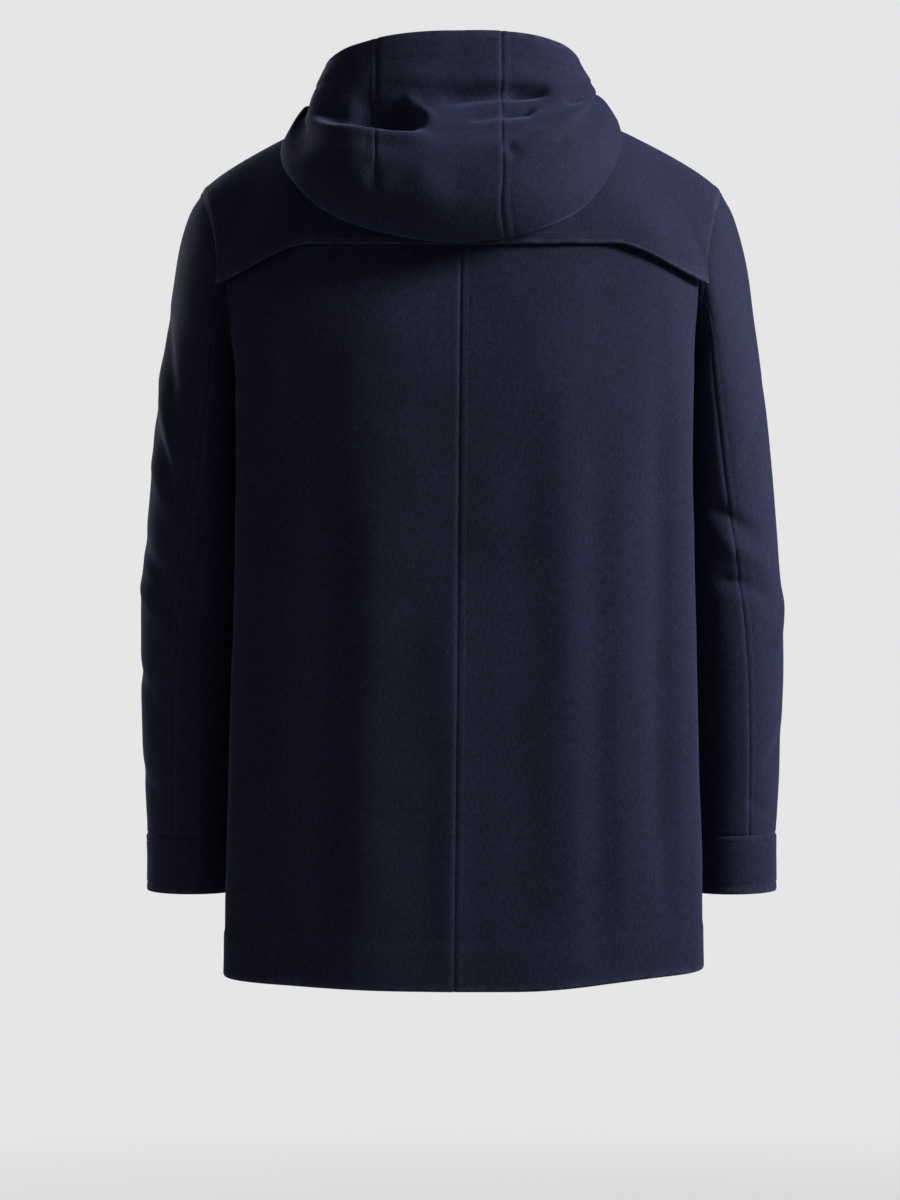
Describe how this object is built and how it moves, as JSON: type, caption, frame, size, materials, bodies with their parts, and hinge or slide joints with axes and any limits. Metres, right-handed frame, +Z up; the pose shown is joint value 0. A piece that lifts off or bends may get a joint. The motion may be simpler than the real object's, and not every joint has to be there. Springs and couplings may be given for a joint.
{
  "type": "hooded duffle coat",
  "caption": "Hooded navy wool duffle coat, worn and hollow, with the hood down on the back, a shoulder yoke, banded cuffs and toggle fastenings in front.",
  "frame": {"origin": "middle of the neck opening, level with the nape of the neck", "axes": "+Z up, -Y the wearer's front, +X the wearer's left"},
  "size_m": [0.6108, 0.3477, 0.8745],
  "materials": {
    "wool": "matt brushed wool",
    "horn": "polished horn look",
    "cord": "matt twisted cord"
  },
  "bodies": {
    "root": {"back_left": "wool", "back_right": "wool", "front_left": "wool", "front_right": "wool", "yoke": "wool", "sleeve_top_left": "wool", "sleeve_under_left": "wool", "sleeve_top_right": "wool", "sleeve_under_right": "wool", "cuff_left": "wool", "cuff_right": "wool", "hood_left": "wool", "hood_middle": "wool", "hood_right": "wool", "loop_patch_1": "wool", "toggle_patch_1": "wool", "loop_cord_1": "cord", "toggle_cord_1": "cord", "toggle_1": "horn", "loop_patch_2": "wool", "toggle_patch_2": "wool", "loop_cord_2": "cord", "toggle_cord_2": "cord", "toggle_2": "horn", "loop_patch_3": "wool", "toggle_patch_3": "wool", "loop_cord_3": "cord", "toggle_cord_3": "cord", "toggle_3": "horn", "loop_patch_4": "wool", "toggle_patch_4": "wool", "loop_cord_4": "cord", "toggle_cord_4": "cord", "toggle_4": "horn"}
  },
  "joints": []
}
